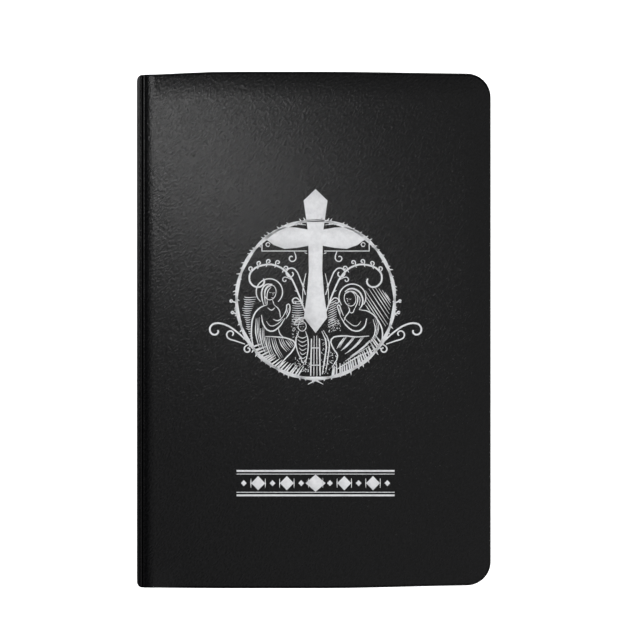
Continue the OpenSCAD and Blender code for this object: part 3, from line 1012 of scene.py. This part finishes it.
scrolls = []
beam_low, beam_high = 20.3, 24.9
for side in (-1, 1):
    scrolls += [
        line([(side * 3.6, beam_low), (side * 12, beam_low), (side * 22.4, beam_low)], 0.4, 1, 1),
        line([(side * 22.4, beam_low - 0.2), (side * 22.4, beam_high)], 0.4, 1, 1),
        line([(side * 22.6, beam_high), (side * 20.4, beam_high)], 0.4, 1, 1),
        arc((side * 19.9, 23.0), 0.8, 0, 330, 0.4), arc((side * 6.8, 31.2), 1.1, 0, 180, 0.5),
        line([(side * 4, 31.2), (side * 10.5, 32.0)], 0.4),
        line([(side * 3.4, 19.2), (side * 4.6, 19.6)], 0.4),
        curl([(side * 4.4, -5), (side * 7.6, 3.5), (side * 11.4, 10.6), (side * 16.4, 14.2),
              (side * 22, 14.4), (side * 26.6, 12)], 0.75, 4.4, 0.72, -side),
        curl([(side * 4.2, 2), (side * 6.4, 8.5), (side * 8.6, 12.6)], 0.55, 2.3, 1.05, -side),
        curl([(side * 9, beam_low), (side * 8.2, 17.4)], 0.5, 1.6, 0.9, side),
        curl([(side * 10.2, 8.4), (side * 12.6, 9.4)], 0.45, 1.1, 0.85, -side),
        curl([(side * 5, -3.4), (side * 7.4, 0.4)], 0.5, 1.5, 0.8, -side),
        line([(side * 5.4, -1.5), (side * 5.2, 5), (side * 4, 11)], 0.4),
        line([(side * 4.6, 5.2), (side * 6.0, 7.6)], 0.4), line([(side * 7.4, 3.2), (side * 8.8, 3.8)], 0.35),
        curl([(side * 28.5, -17.5), (side * 33, -13.4), (side * 38, -10.4), (side * 42.2, -10)],
             0.75, 2.7, 0.8, -side),
        curl([(side * 29.5, -18.6), (side * 33.6, -17.2), (side * 36.4, -16.2)], 0.6, 1.9, 0.85, side),
        curl([(side * 27.6, -18.6), (side * 29.4, -19.6)], 0.6, 1.5, 0.95, -side),
    ]
    for x, y, lean in ((13.4, 12.3, 0.4), (16.6, 14.4, 0.7), (20.2, 14.7, 0.9), (23.8, 13.8, 1.2),
                       (26.8, 11.6, 1.5)):
        stem = Vector((side * x, y))
        up = Vector((-side * math.cos(lean + 0.9), math.sin(lean + 0.9)))
        scrolls.append(curl([stem, stem + up * 1.3], 0.5, 0.85, 0.9, side))
        down = Vector((side * 0.5, -1.1))
        scrolls.append(line([stem, stem + down], 0.45, 1.0, 0.3))
stamp("stamped_scrolls", scrolls, "foil_scrolls")

kneeling = [
    arc((-19.3, 3.2), 5.5, -48, 228, 0.5),
    arc((-18.9, 3.0), 2.4, 0, 360, 0.35, 1.3, -10),
    line([(-18.0, 6.4), (-20.6, 6.3), (-22.3, 4.2), (-22.4, 0.6), (-21.6, -2.4)], 0.6),
    line([(-18.3, 5.9), (-20.4, 4.8), (-21.2, 2.4), (-21.0, -1.8)], 0.5),
    line([(-18.6, 5.2), (-19.9, 3.6), (-20.3, 1.2), (-20.2, -0.6)], 0.4),
    arc((-18.9, 3.3), 0.42, 200, 340, 0.2), arc((-17.5, 3.1), 0.38, 200, 340, 0.2),
    line([(-18.1, 2.9), (-17.7, 2.0), (-18.1, 1.8)], 0.18), line([(-18.6, 0.9), (-17.7, 0.8)], 0.22),
    line([(-20.2, -0.4), (-20.3, -2.4)], 0.4), line([(-18.0, -0.2), (-17.3, -2.2)], 0.4),
    line([(-20.4, -2.2), (-23.2, -3.4), (-25.7, -6.4), (-26.8, -12), (-26.4, -18), (-24.6, -23.4)], 0.6),
    line([(-17.3, -2.2), (-15.3, -4.2), (-14.7, -7.4)], 0.5),
    line([(-20.0, -3.4), (-18.4, -4.4), (-17.0, -3.4)], 0.5),
    line([(-22.6, -6.4), (-21.8, -10.4), (-19.0, -13.2), (-15.6, -11.8), (-12.8, -7.8)], 0.6),
    line([(-17.8, -8.2), (-15.6, -8.8), (-13.4, -6.8)], 0.5),
    line([(-20.6, -9), (-18.8, -11), (-16.0, -10.2), (-13.6, -8)], 0.35),
    line([(-13.6, -7.0), (-12.3, -4.6), (-11.4, -1.8), (-10.7, -3.8), (-11.2, -6.0), (-12.4, -8)], 0.5),
    line([(-12.2, -6.4), (-11.3, -3.6)], 0.25),
    line([(-15.6, -11.8), (-14.8, -14.4), (-12.9, -16.2)], 0.5),
    line([(-21, -15.4), (-16.2, -15.6), (-11.2, -16.4), (-8.6, -18.2), (-9.4, -21), (-12.6, -24.6),
          (-15.8, -28.4)], 0.6),
    line([(-24.6, -23.4), (-21.8, -25.6), (-18.6, -27.4), (-15.8, -28.4)], 0.55),
]
leaning = [
    arc((15.4, 0.9), 5.6, -32, 215, 0.5),
    arc((14.4, 0.4), 2.4, 0, 360, 0.35, 1.3, 14),
    line([(12.2, 3.2), (14.2, 4.5), (17.2, 4.0), (19.3, 1.6), (19.6, -1.8), (18.2, -4.2)], 0.7),
    line([(12.8, 2.6), (14.8, 3.5), (17.0, 2.4), (17.6, -0.4), (16.6, -3.4)], 0.5),
    line([(15.6, 3.1), (18.4, 0.8), (18.2, -2.6)], 0.4),
    arc((13.1, 0.7), 0.38, 200, 340, 0.2), arc((14.5, 0.5), 0.42, 200, 340, 0.2),
    line([(13.7, 0.3), (13.3, -0.7), (13.7, -0.9)], 0.18), line([(13.4, -1.8), (14.3, -1.8)], 0.22),
    line([(13.6, -2.8), (14.2, -4.6), (12.6, -7.0), (11.8, -9.0)], 0.5),
    line([(18.2, -4.2), (22.6, -5.2), (26.4, -9.2), (28.0, -14.4), (26.6, -19.2), (23.2, -21.6)], 0.6),
    line([(16.4, -3.6), (15.2, -5.6), (14.0, -4.8)], 0.45),
    line([(21.4, -7.8), (20.2, -11.6), (16.8, -13.2), (12.8, -10.8), (10.6, -7.4)], 0.6),
    line([(19.0, -9), (17.0, -11), (14.2, -9.8), (11.8, -7.4)], 0.35),
    line([(10.6, -7.6), (9.7, -4.8), (9.5, -2.2), (10.6, -4.2), (11.7, -6.8)], 0.5),
    line([(10.5, -6.2), (9.9, -3.6)], 0.25),
    line([(22.4, -15.2), (17, -15.6), (10.8, -15.2), (6.6, -16.6), (7.4, -20.4), (9.2, -23.4),
          (6.8, -28.4)], 0.6),
    line([(23.2, -21.6), (18.6, -23.4), (13.4, -26.4), (8.8, -29.2)], 0.55),
]
folds = [[(-24.8, -8), (-25.0, -14), (-23.4, -20.6)], [(-22.9, -12), (-22.8, -17), (-20.6, -23.2)],
         [(-20.8, -15.8), (-20.2, -20), (-17.8, -25.4)], [(-18.4, -16.2), (-17.2, -20.6), (-14.8, -24.8)],
         [(-15.4, -16.2), (-14.2, -19.2), (-12.0, -21.8)], [(-12.6, -17), (-11.4, -18.6), (-10.2, -20.2)],
         [(24.0, -8.2), (25.0, -12.8), (23.2, -17.8)], [(22.6, -17), (19, -20.6), (14.4, -23.8)],
         [(19.2, -15.8), (16.6, -19.2), (12.2, -22.8)], [(15.6, -15.8), (13.2, -18.8), (10.6, -21.4)],
         [(12, -15.8), (10.2, -18.2), (8.8, -20.6)], [(22.2, -19.8), (17.4, -22.4), (12.2, -25.8)]]
for fold in folds:
    kneeling.append(line(fold, 0.55, 0.3, 0.3))
    for shift in (0.75, 1.35):
        kneeling.append(line([(x + shift, y + 0.5 * shift) for x, y in fold], 0.32, 0.3, 0.3))

child = [
    arc((-5.6, -11.2), 1.7, 0, 360, 0.35, 1.15), arc((-5.6, -11), 3.3, 5, 175, 0.5),
    arc((-6.2, -11.1), 0.3, 200, 340, 0.16), arc((-5.1, -11.1), 0.3, 200, 340, 0.16),
    line([(-5.9, -12.3), (-5.3, -12.3)], 0.16),
    line([(-7.0, -13.2), (-8.2, -16.6), (-7.6, -21.4), (-4.8, -27.2)], 0.5),
    line([(-4.2, -13.2), (-3.2, -16.6), (-3.2, -21.4), (-4.4, -27.2)], 0.5),
]
for k in range(7):
    y = -15 - 1.7 * k
    child.append(line([(-7.8 + 0.3 * k, y), (-5.6, y - 1.1), (-3.4 - 0.1 * k, y - 0.2)], 0.4))
for x, width in ((-1.7, 0.6), (-0.6, 0.3), (0.5, 0.3), (1.6, 0.6)):
    child.append(line([(x, -14.6 - abs(x)), (x * 1.1, -24), (x * 1.2, -31.8)], width, 0.8, 0.8))
for y in (-20.2, -27.4):
    child.append(line([(-1.9, y), (1.8, y)], 0.4, 1, 1))
child += [line([(2.6, -13.2), (4.4, -18), (3.8, -25), (2.8, -31.2)], 0.6),
          line([(3.2, -12.8), (5.6, -17.6), (5.2, -24), (4.2, -30.6)], 0.5)]

shading = []
for k in range(19):
    y = 1.2 - 0.95 * k
    edge = -math.sqrt((ring_r - 1.4) ** 2 - y ** 2)
    outer_x = edge + chance.uniform(0, 1.2) + max(0, y + 4) * 0.3
    inner_x = -27.2 + max(0, y + 6) * 0.35
    shading.append(line([(outer_x, y), (edge * 0.5 - 13.4, y - 0.3), (inner_x, y - 0.1)], 0.42, 0.4, 0.4))
for k in range(11):
    y = -0.6 - 0.95 * k
    shading.append(line([(-9.6 - 0.05 * k, y), (-7.4, y - 0.25), (-5.0, y)], 0.36))
    shading.append(line([(5.2, y - 1.4), (7.2, y - 0.5), (8.8, y + 0.4)], 0.36))
hatch_way = Vector((0.55, -0.835))
for x, y, length in ((20.9, -2.2, 4), (20.9, -0.2, 9), (20.8, 1.8, 15.5), (20.8, 3.8, 17), (22.2, 4.6, 15),
                     (23.6, 4.9, 13), (25.0, 4.9, 11), (26.4, 4.6, 9), (27.8, 4.0, 6.5), (29.0, 3.0, 4)):
    shading.append(line([(x, y), Vector((x, y)) + hatch_way * length], 0.42, 0.4, 0.4))
for first, last, count in ((-143, -104, 20), (-78, -34, 24)):
    for k in range(count):
        a = math.radians(first + (last - first) * k / (count - 1) + chance.uniform(-0.8, 0.8))
        inner = chance.uniform(28.2, 29.6)
        shading.append(line([(inner * math.cos(a + 0.05), inner * math.sin(a + 0.05)),
                             (ring_r * math.cos(a), ring_r * math.sin(a))], 0.62, 0.3, 1.0))
for low_x, high_x, low_y, high_y, count in (
        (-9.8, -5.2, -9.6, -6.4, 46), (5.4, 10.4, -13.6, -8.2, 60), (-10.2, -7.2, -16, -10, 30),
        (5.8, 8.8, -29, -22, 34), (-9.4, -2.6, -30.4, -24, 70), (2.4, 6, -31, -15, 50)):
    for k in range(count):
        x, y = chance.uniform(low_x, high_x), chance.uniform(low_y, high_y)
        shading.append(line([(x, y), (x + 0.22, y + 0.1)], chance.uniform(0.28, 0.5), 1, 1))
stamp("stamped_figures", kneeling + leaning + child + shading, "foil_figures")

band_y = -76.7
band_w = 66.0
band_h = 11.0
rules = []
for side in (-1, 1):
    for inset, width in ((0.4, 0.8), (1.7, 0.3)):
        y = band_y + side * (band_h / 2 - inset)
        rules.append(line([(-band_w / 2, y), (0, y), (band_w / 2, y)], width, 1, 1))
lozenges = []
lozenge_pitch = 6.0
for k in range(-5, 6):
    wide, tall = ((2.9, 3.0), (1.2, 1.3))[k % 2]
    if k == 0:
        wide, tall = 4.2, 3.6
    x = k * lozenge_pitch
    lozenges.append(([(wide * c, tall * s) for c, s in ((1, 0), (0, 1), (-1, 0), (0, -1))], (x, band_y)))
    if k < 5:
        between = x + lozenge_pitch / 2
        rules.append(line([(between, band_y - 2.0), (between, band_y + 2.0)], 0.42, 0.3, 0.3))
stamp("stamped_band", rules, "foil_ornament", lozenges)

visual_low, visual_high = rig.bounds()
with open("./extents.json", "w") as size_file:
    json.dump({"cad": [list(cad_low), list(cad_high)], "visual": [list(visual_low), list(visual_high)]},
              size_file)
